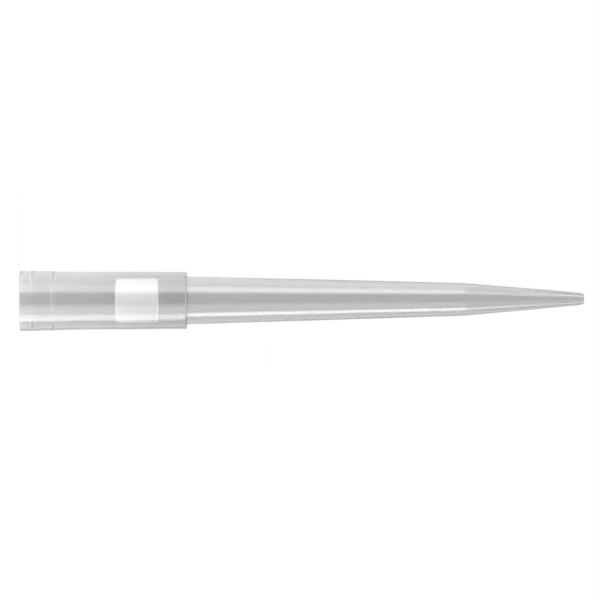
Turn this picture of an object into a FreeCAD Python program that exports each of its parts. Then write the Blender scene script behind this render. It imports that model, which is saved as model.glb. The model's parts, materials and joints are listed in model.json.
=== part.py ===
"""A 1000 microlitre filter pipette tip, standing on its mouth with the point up.

Two pieces: the moulded polypropylene tip, and the sintered polyethylene filter plug pressed into its bore.
Both are solids of revolution about the z axis, which is the tip's own axis. Each is drawn as an outline, with
z measured up from the flat rim of the mouth towards the point and r outwards from the axis.
Lengths are in millimetres.
"""

import FreeCAD
import Part

import math
import os

Vector = FreeCAD.Vector

# Lengths along the axis
tip_length = 82.2  # mouth rim to the end of the point
collar_length = 24.2  # mouth rim to the shoulder that hangs in a rack
lead_in_length = 1.75  # chamfer at the mouth, and the straight rim band around it
socket_length = 3.25  # cylindrical land that seals on the pipette's nozzle
neck_length = 4.2  # flare outside the collar, below the socket
shoulder_band_length = 3.7  # straight band that ends in the shoulder
shoulder_taper_length = 4.0  # from the waist of the collar to that band
root_land_length = 1.0  # straight root of the body, below the shoulder
filter_depth = 20.05  # mouth rim to the plug's inner face
point_length = 17.5  # from the knee, where the steeper taper starts, to the end
bevel_length = 1.0  # outside bevel at the end of the point
orifice_length = 1.3  # straight bore at the end of the point

# Bore
socket_bore = 7.80
lead_in_depth = 0.20  # radial, at the mouth
socket_taper = 2.56  # half angle in degrees, from the socket down to the filter
knee_bore = 3.81
orifice_bore = 0.84

# Walls
rim_wall = 0.50
collar_wall = 0.96  # at the shoulder band
body_wall = 0.475
point_wall = 0.54  # where the bevel starts
bevel_depth = 0.25  # radial

# Outside of the collar: how far each stretch draws in, on the radius
flare_drop = 0.055
waist_rise = 0.05  # of the waist over the shoulder band

# Filter plug
filter_length = 6.05
filter_clearance = 0.01  # radial, at the narrowest place the plug reaches
filter_edge = 0.20  # radial, of the chamfer on the mouth's side
filter_edge_length = 0.60
filter_dome = 0.15  # crown of the face on the mouth's side
filter_inner_edge = 0.12

# Radii of the edges
rim_edge_radius = 0.15
shoulder_edge_radius = 0.08
root_radius = 0.12
knee_radius = 12.0
bore_knee_radius = 12.0
point_edge_radius = 0.08
orifice_edge_radius = 0.04

# Densities in grams per cubic millimetre, for the masses printed at the end
polypropylene = 0.905e-3
sintered_polyethylene = 0.50e-3

# Stations and radii that follow from the sizes above
socket_start = lead_in_length
socket_end = socket_start + socket_length
knee_station = tip_length - point_length
root_end = collar_length + root_land_length
bevel_station = tip_length - bevel_length
orifice_station = tip_length - orifice_length
shoulder_band_station = collar_length - shoulder_band_length
waist_station = shoulder_band_station - shoulder_taper_length

cone_length = filter_depth - socket_end
filter_bore_radius = socket_bore / 2 - cone_length * math.tan(math.radians(socket_taper))
rim_radius = socket_bore / 2 + rim_wall
flare_radius = rim_radius - flare_drop
shoulder_radius = filter_bore_radius + collar_wall
waist_radius = shoulder_radius + waist_rise
knee_radius_outside = knee_bore / 2 + body_wall
bevel_radius = orifice_bore / 2 + point_wall


def chamber_radius(z):
    """Radius of the long bore between the filter and the knee."""
    along = (z - filter_depth) / (knee_station - filter_depth)
    return filter_bore_radius + along * (knee_bore / 2 - filter_bore_radius)


root_outside_radius = chamber_radius(root_end) + body_wall


def rounded_loop(corners):
    """A closed wire through (z, r, radius) corners. A radius of 0 leaves its corner sharp."""
    count = len(corners)
    points = [Vector(r, 0, z) for z, r, _ in corners]
    pieces = []
    for i, (_, _, radius) in enumerate(corners):
        corner = points[i]
        back = (points[i - 1] - corner).normalize()
        ahead = (points[(i + 1) % count] - corner).normalize()
        if radius == 0:
            pieces.append((corner, corner, None))
            continue
        half_angle = back.getAngle(ahead) / 2
        reach = radius / math.tan(half_angle)
        bisector = (back + ahead).normalize()
        middle = corner + bisector * (radius / math.sin(half_angle) - radius)
        pieces.append((corner + back * reach, corner + ahead * reach, middle))
    edges = []
    for i, (start, end, middle) in enumerate(pieces):
        if middle is not None:
            edges.append(Part.Arc(start, middle, end).toShape())
        following = pieces[(i + 1) % count][0]
        edges.append(Part.LineSegment(end, following).toShape())
    return Part.Wire(edges)


def turned(outline):
    """The solid that an outline in the x, z plane makes when it turns about the z axis."""
    return Part.Face(outline).revolve(Vector(0, 0, 0), Vector(0, 0, 1), 360)


def tip_body():
    outside = [
        (0, rim_radius, rim_edge_radius),
        (lead_in_length, rim_radius, 0),
        (socket_end, flare_radius, 0),
        (socket_end + neck_length, waist_radius, 0),
        (waist_station, waist_radius, 0),
        (shoulder_band_station, shoulder_radius, 0),
        (collar_length, shoulder_radius, shoulder_edge_radius),
        (collar_length, root_outside_radius, root_radius),
        (root_end, root_outside_radius, 0),
        (knee_station, knee_radius_outside, knee_radius),
        (bevel_station, bevel_radius, 0),
        (tip_length, bevel_radius - bevel_depth, point_edge_radius),
    ]
    bore = [
        (tip_length, orifice_bore / 2, orifice_edge_radius),
        (orifice_station, orifice_bore / 2, 0),
        (knee_station, knee_bore / 2, bore_knee_radius),
        (filter_depth, filter_bore_radius, 0),
        (socket_end, socket_bore / 2, 0),
        (socket_start, socket_bore / 2, 0),
        (0, socket_bore / 2 + lead_in_depth, 0),
    ]
    return turned(rounded_loop(outside + bore))


def filter_plug():
    """A straight plug, as wide as the bore at its inner face. The face to the mouth is crowned."""
    radius = filter_bore_radius - filter_clearance
    face = filter_depth - filter_length
    crown_edge = Vector(radius - filter_edge, 0, face)
    crown_top = Vector(0, 0, face - filter_dome)
    # a point on the crown's circle, half way in angle from its edge to its top
    half_chord = crown_edge.x
    crown_radius = (half_chord**2 + filter_dome**2) / (2 * filter_dome)
    half_way = math.asin(half_chord / crown_radius) / 2
    crown_sag = crown_radius * (1 - math.cos(half_way))
    crown_middle = Vector(crown_radius * math.sin(half_way), 0, crown_top.z + crown_sag)
    points = [
        crown_edge,
        Vector(radius, 0, face + filter_edge_length),
        Vector(radius, 0, filter_depth - filter_inner_edge),
        Vector(radius - filter_inner_edge, 0, filter_depth),
        Vector(0, 0, filter_depth),
        crown_top,
    ]
    edges = [Part.LineSegment(a, b).toShape() for a, b in zip(points, points[1:])]
    edges.append(Part.Arc(crown_top, crown_middle, crown_edge).toShape())
    return turned(Part.Wire(edges))


def main():
    tip = tip_body()
    plug = filter_plug()
    os.makedirs("parts", exist_ok=True)
    for name, solid in (("tip_body", tip), ("filter_plug", plug)):
        solid.exportStep(f"parts/{name}.step")
        box = solid.optimalBoundingBox(False, False)
        print(name, "solids", len(solid.Solids), "valid", solid.isValid(), "mm3", round(solid.Volume, 2))
        print("  from z", round(box.ZMin, 4), "to", round(box.ZMax, 4), "across", round(box.XLength, 4))

    # how far the standing tip can lean before it falls over
    tip_mass = tip.Volume * polypropylene
    plug_mass = plug.Volume * sintered_polyethylene
    balance = (tip_mass * tip.CenterOfMass.z + plug_mass * plug.CenterOfMass.z) / (tip_mass + plug_mass)
    lean = math.degrees(math.atan2(rim_radius - rim_edge_radius, balance))
    print("masses g", round(tip_mass, 4), round(plug_mass, 4))
    print("balances at", round(balance, 3), "and falls from a lean of", round(lean, 2), "degrees")


main()
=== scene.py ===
"""The looks of a 1000 microlitre filter pipette tip, standing on its mouth with the point up.

Two pieces stand for the two CAD nodes: the moulded polypropylene tip and the sintered polyethylene filter
plug. Both are turned about the tip's own axis, which is z. Shapes are in millimetres, measured up from the
flat rim of the mouth, and become metres when a mesh is made. The frame gives the main stations and radii.
"""

import json
import math
import random

import bpy
from mathutils import Matrix, Vector, kdtree


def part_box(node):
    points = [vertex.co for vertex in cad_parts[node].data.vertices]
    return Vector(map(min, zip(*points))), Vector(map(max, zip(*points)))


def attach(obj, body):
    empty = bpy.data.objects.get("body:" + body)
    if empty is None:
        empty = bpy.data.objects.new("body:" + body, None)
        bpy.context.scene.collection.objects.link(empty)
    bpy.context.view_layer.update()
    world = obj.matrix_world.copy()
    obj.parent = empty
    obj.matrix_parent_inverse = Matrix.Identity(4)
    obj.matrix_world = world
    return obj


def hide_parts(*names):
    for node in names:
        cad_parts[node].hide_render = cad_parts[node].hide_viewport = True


MM = 0.001

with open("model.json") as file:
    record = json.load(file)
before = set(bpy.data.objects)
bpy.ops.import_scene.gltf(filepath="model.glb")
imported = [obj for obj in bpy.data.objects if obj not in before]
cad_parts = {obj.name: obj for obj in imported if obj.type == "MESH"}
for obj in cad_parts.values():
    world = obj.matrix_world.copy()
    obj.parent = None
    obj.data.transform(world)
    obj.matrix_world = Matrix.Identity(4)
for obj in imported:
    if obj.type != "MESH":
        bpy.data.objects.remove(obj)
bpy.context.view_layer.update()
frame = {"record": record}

# ------------------------------------------------------------------------------------------------
# Sizes, in millimetres
# ------------------------------------------------------------------------------------------------

# From the frame
tip_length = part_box("tip_body")[1].z / MM
rim_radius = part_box("tip_body")[1].x / MM
plug_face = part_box("filter_plug")[0].z / MM
plug_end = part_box("filter_plug")[1].z / MM
plug_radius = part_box("filter_plug")[1].x / MM
mounts = {mount["name"]: mount for mount in frame["record"]["mounts"]}
socket = mounts["nozzle_socket"]
socket_middle = socket["pos_m"][2] / MM
socket_length = socket["dims"]["length_mm"]
socket_radius = socket["dims"]["r_mm"]
shoulder = mounts["rack_shoulder"]["pos_m"][2] / MM
orifice_radius = mounts["orifice"]["dims"]["r_mm"]

# Stations along the axis
socket_start = socket_middle - socket_length / 2
socket_end = socket_middle + socket_length / 2
waist_start = 9.2
waist_end = 16.5
band_start = 20.5
root_end = 25.2
knee = tip_length - 17.5
bevel_start = tip_length - 1.0
orifice_start = tip_length - 1.3

# Radii outside, from the mouth to the point
flare_radius = 4.345
waist_radius = 4.237
band_radius = 4.187
root_radius = 3.550
root_draft = 0.025  # how much the root draws in on its way up to the body
knee_radius = 2.380
bevel_radius = 0.960
end_radius = 0.710

# Radii inside
mouth_bore = 4.10
filter_bore = plug_radius + 0.01
knee_bore = 1.905

# How round the edges are
rim_edge = 0.15
shoulder_edge = 0.06
root_fillet = 0.12
knee_bend = 12.0
point_edge = 0.08
orifice_edge = 0.04

# Sealing beads in the socket
bead_height = 0.066
bead_steps = 14
lower_bead = socket_start + 0.02
lower_bead_half_width = 0.165
upper_bead = socket_end - 0.18
upper_bead_half_width = 0.15

# The plug's surface of fused granules
granule_seed = 4
granule_spacing = 0.20
granule_depth = 0.012

# How finely the meshes are cut
tip_segments = 256
plug_segments = 288
edge_support = 0.02
arc_step = math.radians(9)
fewest_arc_steps = 4
longest_ring = 2.5

# The plug's outline
plug_crown = 0.15
plug_chamfer = 0.20
plug_chamfer_length = 0.60
plug_inner_edge = 0.12
crown_steps = 12
plug_ring = 0.075

# Polypropylene
polypropylene_colour = (0.975, 0.968, 0.970, 1)
polypropylene_clearness = 0.95
polypropylene_index = 1.49
absorption_colour = (0.80, 0.80, 0.80, 1)
absorption_density = 1000.0  # per metre
draw_mark_scale = 1600  # noise cells in a metre, across the tip
draw_mark_stretch = 0.02  # as many along the tip, as a share of those across
draw_mark_detail = 3
draw_mark_depth = 0.001
draw_mark_strength = 0.1
polish_scale = 260
polish_range = (0.35, 0.65)  # of the noise, over which the roughness changes
polish_roughness = (0.02, 0.03)

# Sintered polyethylene
granule_colours = ((0.93, 0.93, 0.925, 1), (0.98, 0.98, 0.98, 1))
# painted shade: the colour that the pores between granules darken towards, standing in for the shade in them
painted_pore_shade = (0.80, 0.80, 0.79, 1)
pore_shade_range = (0.45, 0.85)  # of the distance from a granule's middle
pore_shade_share = 0.35
mottle_scale = 900
mottle_detail = 3
mottle_range = (0.3, 0.7)
mottle_roughness = (0.75, 0.9)
grain_scale = 6000
grain_depth = 0.01
grain_strength = 0.25
plug_specular = 0.3

# Floor
floor_side = 4000
floor_drop = 0.02
floor_paper = 0.9  # how pale the floor is to light that bounces off it
floor_glow = 0.70
floor_shade = 0.27

# Camera
camera_distance = 620
picture_height = 87.60
camera_height = 40.78
camera_side = 0.02
camera_roll = -0.20
sensor_width = 36
clip_start = 10
clip_end = 100_000

# Lights, each a (bearing, half width, edge, level) and laid over the ones before it. The first three are in
# degrees, and bearings turn from +Y, behind the tip, towards -X, which is up in the picture. A blend is half
# the height in degrees of the soft edge that it makes.

# What the upright collar mirrors
collar_level = 1.1
collar_lights = [
    (125, 60, 60, 5.0),  # the broad light above the tip
    (128, 14, 8, 6.6),  # and its bright middle
    (-108, 60, 12, 3.0),  # the broad light below
    (-124, 26, 14, 5.6),  # its brighter side towards the camera
    (-109, 11, 8, 10.0),  # and its bright strip
    (172, 20, 12, 0.4),  # the dark room behind the camera
]

# What the tapered body mirrors, a little above level: the same lights, as they look from there
body_level = 0.6
body_lights = [
    (125, 55, 55, 4.8),  # the broad light above the tip
    (125, 12, 9, 8.8),  # and its bright middle
    (-105, 57, 14, 2.5),  # the broad light below
    (-120, 24, 14, 2.9),  # its brighter side towards the camera
    (-106, 9, 7, 11.0),  # and its bright strip
    (172, 24, 14, 0.1),  # the dark room behind the camera
]
body_from = 0.3  # degrees above level
body_blend = 1.2

# What the steep point mirrors, higher still, is the same but dimmer
point_from = 8.5  # degrees above level
point_blend = 1.2
point_share = 0.6

# What is mirrored from below is mostly a dull table
table_from = -6.0  # degrees above level
table_blend = 2.5
table_share = 0.8
table_level = 0.5

# What shows through the plastic
through_level = 0.5
through_lights = [
    (78, 18, 8, 0.95),  # pale card above
    (110, 8, 6, 0.15),  # dark gap between the cards
    (144, 22, 8, 0.90),  # pale card above the camera
    (-150, 26, 10, 0.40),  # dim room behind the camera
    (-104, 14, 8, 1.0),  # pale strip below
    (-78, 8, 6, 0.10),  # dark edge of the strip
]
sky_from = 15.0  # degrees above level
sky_blend = 3.0
sky_level = 1.3

# What falls on matt surfaces
looking_depth = 0.5  # fewer matt bounces than this: a ray that is still on its way from the camera
soft_level = 0.8
soft_lights = [
    (165, 25, 12, 2.4),  # from a little above the camera
    (-140, 28, 12, 0.0),  # the dark room below the camera
    (-65, 28, 20, 2.6),  # from below
]

# ------------------------------------------------------------------------------------------------
# Outlines
# ------------------------------------------------------------------------------------------------


def rounded(corners):
    """Points on an open line through (z, r, edge radius) corners, each edge an arc with support beside it."""
    points = [Vector(corner[:2]) for corner in corners]
    line = [points[0]]
    for before, corner, after, (_, _, radius) in zip(points, points[1:], points[2:], corners[1:]):
        back = (before - corner).normalized()
        ahead = (after - corner).normalized()
        if radius == 0:
            line += [corner + back * edge_support, corner, corner + ahead * edge_support]
            continue
        half = back.angle(ahead) / 2
        reach = radius / math.tan(half)
        centre = corner + (back + ahead).normalized() * (radius / math.sin(half))
        start = corner + back * reach - centre
        sweep = (corner + ahead * reach - centre).angle_signed(start)
        steps = max(fewest_arc_steps, math.ceil(abs(sweep) / arc_step))
        line.append(centre + start + back * edge_support)
        for step in range(steps + 1):
            line.append(centre + Matrix.Rotation(sweep * step / steps, 2) @ start)
        line.append(corner + ahead * (reach + edge_support))
    line.append(points[-1])
    return line


def bead(station, half_width):
    """A low rounded rib on the socket's bore, from the point's side to the mouth's."""
    line = []
    for step in range(bead_steps + 1):
        across = 1 - 2 * step / bead_steps
        rise = bead_height * (1 + math.cos(math.pi * across)) / 2
        line.append(Vector((station + across * half_width, socket_radius - rise)))
    return line


def divided(line):
    """The closed line with its long stretches cut up, so that no ring of faces is very tall."""
    result = []
    for start, end in zip(line, line[1:] + line[:1]):
        pieces = max(1, math.ceil((end - start).length / longest_ring))
        result += [start.lerp(end, piece / pieces) for piece in range(pieces)]
    return result


def tip_outline():
    """Closed, from the middle of the rim up the outside, down the bore and its beads, and back to the rim."""
    outside = rounded([
        (0.0, (mouth_bore + rim_radius) / 2, 0),
        (0.0, rim_radius, rim_edge),
        (socket_start, rim_radius, 0),
        (socket_end, flare_radius, 0),
        (waist_start, waist_radius, 0),
        (waist_end, waist_radius, 0),
        (band_start, band_radius, 0),
        (shoulder, band_radius, shoulder_edge),
        (shoulder, root_radius, root_fillet),
        (root_end, root_radius - root_draft, 0),
        (knee, knee_radius, knee_bend),
        (bevel_start, bevel_radius, 0),
        (tip_length, end_radius, point_edge),
        (tip_length, orifice_radius, orifice_edge),
        (orifice_start, orifice_radius, 0),
        (knee, knee_bore, knee_bend),
        (plug_end, filter_bore, 0),
        (socket_end, socket_radius, 0),
    ])
    beads = bead(upper_bead, upper_bead_half_width) + bead(lower_bead, lower_bead_half_width)
    mouth = rounded([
        (socket_end, socket_radius, 0),
        (lower_bead - lower_bead_half_width, socket_radius, 0),
        (0.0, mouth_bore, 0),
        (0.0, rim_radius, 0),
    ])
    # the lower bead already ends at the second of the mouth's corners
    return divided(outside + beads + mouth[3:-1])


# ------------------------------------------------------------------------------------------------
# Meshes
# ------------------------------------------------------------------------------------------------


def link(name, mesh):
    mesh.update()
    mesh.shade_smooth()
    piece = bpy.data.objects.new(name, mesh)
    bpy.context.scene.collection.objects.link(piece)
    return piece


def turned(name, outline, segments):
    """The smooth ring-shaped mesh that a closed outline of (z, r) points makes, turned about the z axis."""
    points, faces = [], []
    for segment in range(segments):
        turn = 2 * math.pi * segment / segments
        for z, r in outline:
            points.append(Vector((r * math.cos(turn), r * math.sin(turn), z)) * MM)
    count = len(outline)
    for segment in range(segments):
        here, there = segment * count, (segment + 1) % segments * count
        for i in range(count):
            j = (i + 1) % count
            faces.append((here + i, there + i, there + j, here + j))
    mesh = bpy.data.meshes.new(name)
    mesh.from_pydata(points, [], faces)
    return link(name, mesh)


def make_tip():
    tip = turned("polypropylene_tip", tip_outline(), tip_segments)
    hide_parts("tip_body")
    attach(tip, "root")
    tip.data.materials.append(polypropylene())


def plug_outline():
    """From the middle of the crowned face, along the side, to the middle of the inner face."""
    face = plug_face + plug_crown
    crown = [(plug_face + plug_crown * (step / crown_steps) ** 2,
              (plug_radius - plug_chamfer) * step / crown_steps) for step in range(crown_steps)]
    corners = [Vector(point) for point in crown]
    corners += [
        Vector((face, plug_radius - plug_chamfer)),
        Vector((face + plug_chamfer_length, plug_radius)),
        Vector((plug_end - plug_inner_edge, plug_radius)),
        Vector((plug_end, plug_radius - plug_inner_edge)),
        Vector((plug_end, 0.0)),
    ]
    line = []
    for start, end in zip(corners, corners[1:]):
        pieces = max(1, math.ceil((end - start).length / plug_ring))
        line += [start.lerp(end, piece / pieces) for piece in range(pieces)]
    return line + [corners[-1]]


def granules(rng):
    """The middles of the fused granules, spread through the plug, in a tree that finds the nearest."""
    volume = math.pi * plug_radius**2 * (plug_end - plug_face)
    middles = []
    for _ in range(int(volume / granule_spacing**3)):
        radius = plug_radius * math.sqrt(rng.random())
        turn = rng.uniform(0, 2 * math.pi)
        z = rng.uniform(plug_face, plug_end)
        middles.append((radius * math.cos(turn), radius * math.sin(turn), z))
    tree = kdtree.KDTree(len(middles))
    for index, point in enumerate(middles):
        tree.insert(point, index)
    tree.balance()
    return tree


def make_plug():
    """The plug with a surface of fused granules, cut in from the CAD surface and never out of it."""
    outline = plug_outline()
    tree = granules(random.Random(granule_seed))
    middle = Vector((0, 0, (plug_face + plug_end) / 2))
    points = [Vector((0, 0, outline[0][0]))]
    for z, r in outline[1:-1]:
        for segment in range(plug_segments):
            turn = 2 * math.pi * segment / plug_segments
            point = Vector((r * math.cos(turn), r * math.sin(turn), z))
            away = min(1, tree.find(point)[2] / granule_spacing)
            points.append(point + (middle - point).normalized() * granule_depth * away**2)
    points.append(Vector((0, 0, outline[-1][0])))
    rows = len(outline) - 2
    last = len(points) - 1
    faces = []
    for segment in range(plug_segments):
        after = (segment + 1) % plug_segments
        faces.append((0, 1 + after, 1 + segment))
        faces.append((last, last - plug_segments + segment, last - plug_segments + after))
        for row in range(rows - 1):
            here, there = 1 + row * plug_segments, 1 + (row + 1) * plug_segments
            faces.append((here + segment, here + after, there + after, there + segment))
    mesh = bpy.data.meshes.new("sintered_plug")
    mesh.from_pydata([point * MM for point in points], [], faces)
    plug = link("sintered_plug", mesh)
    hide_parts("filter_plug")
    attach(plug, "root")
    plug.data.materials.append(sintered_polyethylene())


# ------------------------------------------------------------------------------------------------
# Materials
# ------------------------------------------------------------------------------------------------


class Nodes:
    """A material's or a world's node tree, with short ways to add to it."""

    def __init__(self, owner):
        owner.use_nodes = True
        self.tree = owner.node_tree
        self.tree.nodes.clear()

    def add(self, kind, *inputs, **settings):
        """A node with its inputs given in order, each a socket, a value or None to leave it alone."""
        node = self.tree.nodes.new("ShaderNode" + kind)
        for key, value in settings.items():
            setattr(node, key, value)
        for index, value in enumerate(inputs):
            self.set(node.inputs[index], value)
        return node

    def set(self, socket, value):
        if isinstance(value, bpy.types.NodeSocket):
            self.tree.links.new(value, socket)
        elif value is not None:
            socket.default_value = value

    def math(self, operation, *inputs):
        return self.add("Math", *inputs, operation=operation).outputs[0]

    def ramp(self, value, low, high, out_low=0.0, out_high=1.0):
        """The value taken smoothly from low..high to out_low..out_high, and held outside."""
        node = self.add("MapRange", value, low, high, out_low, out_high, interpolation_type="SMOOTHSTEP")
        return node.outputs[0]

    def mix(self, share, first, second, kind="FLOAT"):
        """Goes from the first value to the second as the share goes from 0 to 1."""
        node = self.add("Mix", data_type=kind)
        ends = [socket for socket in node.inputs if socket.enabled and socket.name in ("A", "B")]
        self.set(node.inputs["Factor"], share)
        for socket, value in zip(ends, (first, second)):
            self.set(socket, value)
        return next(socket for socket in node.outputs if socket.enabled)

    def noise(self, vector, scale, detail=2):
        node = self.add("TexNoise")
        self.set(node.inputs["Vector"], vector)
        self.set(node.inputs["Scale"], scale)
        self.set(node.inputs["Detail"], detail)
        return node.outputs["Fac"]

    def bump(self, height, depth, strength):
        """A normal that follows the height, whose full rise is the depth in millimetres."""
        node = self.add("Bump")
        self.set(node.inputs["Strength"], strength)
        self.set(node.inputs["Distance"], depth * MM)
        self.set(node.inputs["Height"], height)
        return node.outputs[0]


def polypropylene():
    """Clear and faintly milky, with draw marks along the tip and a softer polish in patches."""
    material = bpy.data.materials.new("natural_polypropylene")
    nodes = Nodes(material)
    place = nodes.add("TexCoord").outputs["Object"]
    along = nodes.add("Mapping", place, None, None, (1, 1, draw_mark_stretch)).outputs[0]
    draw_marks = nodes.noise(along, draw_mark_scale, draw_mark_detail)
    patches = nodes.noise(place, polish_scale)

    shader = nodes.add("BsdfPrincipled")
    shader.inputs["Base Color"].default_value = polypropylene_colour
    shader.inputs["IOR"].default_value = polypropylene_index
    shader.inputs["Transmission Weight"].default_value = polypropylene_clearness
    nodes.set(shader.inputs["Roughness"], nodes.ramp(patches, *polish_range, *polish_roughness))
    nodes.set(shader.inputs["Normal"], nodes.bump(draw_marks, draw_mark_depth, draw_mark_strength))

    absorption = nodes.add("VolumeAbsorption")
    absorption.inputs["Color"].default_value = absorption_colour
    absorption.inputs["Density"].default_value = absorption_density
    output = nodes.add("OutputMaterial")
    nodes.set(output.inputs["Surface"], shader.outputs[0])
    nodes.set(output.inputs["Volume"], absorption.outputs[0])
    return material


def sintered_polyethylene():
    """White, matt and porous: pale granules, with painted shade darkening the pores between them."""
    material = bpy.data.materials.new("sintered_polyethylene")
    nodes = Nodes(material)
    place = nodes.add("TexCoord").outputs["Object"]
    cells = nodes.add("TexVoronoi")
    nodes.set(cells.inputs["Vector"], place)
    nodes.set(cells.inputs["Scale"], 1 / (granule_spacing * MM))
    # painted shade in the pores, darker away from each granule's middle
    pore_shade_mask = nodes.ramp(cells.outputs["Distance"], *pore_shade_range)
    mottle = nodes.noise(place, mottle_scale, mottle_detail)
    pale = nodes.mix(mottle, *granule_colours, "RGBA")
    pore_shaded_colour = nodes.mix(nodes.math("MULTIPLY", pore_shade_mask, pore_shade_share), pale, painted_pore_shade, "RGBA")
    grain = nodes.noise(place, grain_scale)

    shader = nodes.add("BsdfPrincipled")
    nodes.set(shader.inputs["Base Color"], pore_shaded_colour)
    nodes.set(shader.inputs["Roughness"], nodes.ramp(mottle, *mottle_range, *mottle_roughness))
    shader.inputs["Specular IOR Level"].default_value = plug_specular
    nodes.set(shader.inputs["Normal"], nodes.bump(grain, grain_depth, grain_strength))
    output = nodes.add("OutputMaterial")
    nodes.set(output.inputs["Surface"], shader.outputs[0])
    return material


def floor_finish():
    """White paper with the tip's faint shadow. What shines or looks through the plastic passes it by."""
    material = bpy.data.materials.new("white_floor")
    nodes = Nodes(material)
    path = nodes.add("LightPath").outputs
    paper = nodes.add("BsdfDiffuse", (floor_paper, floor_paper, floor_paper, 1))
    soft = nodes.add("BsdfDiffuse", (floor_shade, floor_shade, floor_shade, 1))
    glow = nodes.add("Emission", (1, 1, 1, 1), floor_glow)
    seen = nodes.add("AddShader", glow.outputs[0], soft.outputs[0])
    unseen = nodes.add("BsdfTransparent")
    lit = nodes.add("MixShader", path["Is Camera Ray"], paper.outputs[0], seen.outputs[0])
    through = nodes.math("MAXIMUM", path["Is Glossy Ray"], path["Is Transmission Ray"])
    floor = nodes.add("MixShader", through, lit.outputs[0], unseen.outputs[0])
    output = nodes.add("OutputMaterial")
    nodes.set(output.inputs["Surface"], floor.outputs[0])
    return material


# ------------------------------------------------------------------------------------------------
# Studio
# ------------------------------------------------------------------------------------------------


def ring(nodes, turn, level, lights):
    """Soft-edged lights round the horizon, over an even level."""
    for bearing, half_width, edge, brightness in lights:
        towards = nodes.math("COSINE", nodes.math("SUBTRACT", turn, math.radians(bearing)))
        outer, inner = (math.cos(math.radians(max(0, half_width + side * edge))) for side in (1, -1))
        level = nodes.mix(nodes.ramp(towards, outer, inner), level, brightness)
    return level


def above(nodes, rise, degrees, blend):
    """1 for directions above an elevation, 0 below it, and soft between."""
    low, high = (math.sin(math.radians(degrees + side * blend)) for side in (-1, 1))
    return nodes.ramp(rise, low, high)


def studio():
    """A world with four looks: for the camera and for mirrored, refracted and scattered rays."""
    world = bpy.data.worlds.new("studio")
    bpy.context.scene.world = world
    nodes = Nodes(world)
    direction = nodes.add("TexCoord").outputs["Generated"]
    parts = nodes.add("SeparateXYZ", direction).outputs
    turn = nodes.math("ARCTAN2", nodes.math("MULTIPLY", parts["X"], -1), parts["Y"])
    rise = parts["Z"]

    collar = ring(nodes, turn, collar_level, collar_lights)
    body = ring(nodes, turn, body_level, body_lights)
    shine = nodes.mix(above(nodes, rise, body_from, body_blend), collar, body)
    point = nodes.math("MULTIPLY_ADD", above(nodes, rise, point_from, point_blend), point_share - 1, 1)
    shine = nodes.math("MULTIPLY", shine, point)
    table = nodes.math("MULTIPLY_ADD", above(nodes, rise, table_from, table_blend), -table_share, table_share)
    shine = nodes.mix(table, shine, table_level)

    sky = above(nodes, rise, sky_from, sky_blend)
    through = ring(nodes, turn, through_level, through_lights)
    seen_through = nodes.math("MULTIPLY_ADD", sky, sky_level, through)

    # a refracted ray counts as glossy too, so its own choice comes after the one for glossy rays
    path = nodes.add("LightPath").outputs
    looking = nodes.math("LESS_THAN", path["Diffuse Depth"], looking_depth)
    light = ring(nodes, turn, soft_level, soft_lights)
    light = nodes.mix(nodes.math("MULTIPLY", looking, path["Is Glossy Ray"]), light, shine)
    light = nodes.mix(nodes.math("MULTIPLY", looking, path["Is Transmission Ray"]), light, seen_through)
    light = nodes.mix(path["Is Camera Ray"], light, 1.0)
    background = nodes.add("Background", (1, 1, 1, 1), light)
    output = nodes.add("OutputWorld")
    nodes.set(output.inputs["Surface"], background.outputs[0])


def make_floor():
    mesh = bpy.data.meshes.new("floor")
    side = floor_side * MM
    drop = -floor_drop * MM
    corners = [(-side, -side, drop), (side, -side, drop), (side, side, drop), (-side, side, drop)]
    mesh.from_pydata(corners, [], [(0, 1, 2, 3)])
    mesh.materials.append(floor_finish())
    floor = bpy.data.objects.new("floor", mesh)
    bpy.context.scene.collection.objects.link(floor)


def make_camera():
    """Level with the tip's middle and rolled a quarter turn, so that the tip lies across the picture."""
    data = bpy.data.cameras.new("camera")
    data.sensor_width = sensor_width
    data.lens = sensor_width * camera_distance / picture_height
    data.clip_start = clip_start * MM
    data.clip_end = clip_end * MM
    camera = bpy.data.objects.new("camera", data)
    right = Vector((0, 0, 1))
    up = Vector((-1, 0, 0))
    back = Vector((0, -1, 0))
    stand = Matrix((right, up, back)).transposed().to_4x4()
    roll = Matrix.Rotation(math.radians(camera_roll), 4, "Z")
    place = Vector((camera_side, -camera_distance, camera_height)) * MM
    camera.matrix_world = Matrix.Translation(place) @ stand @ roll
    bpy.context.scene.collection.objects.link(camera)
    bpy.context.scene.camera = camera


def set_up_picture():
    scene = bpy.context.scene
    scene.view_settings.view_transform = "Standard"
    scene.cycles.use_denoising = True
    scene.cycles.max_bounces = 24
    scene.cycles.transmission_bounces = 24
    scene.cycles.glossy_bounces = 12
    scene.cycles.diffuse_bounces = 6
    scene.cycles.transparent_max_bounces = 16
    scene.cycles.sample_clamp_indirect = 0
    scene.cycles.blur_glossy = 0.0


make_tip()
make_plug()
make_floor()
studio()
make_camera()
set_up_picture()
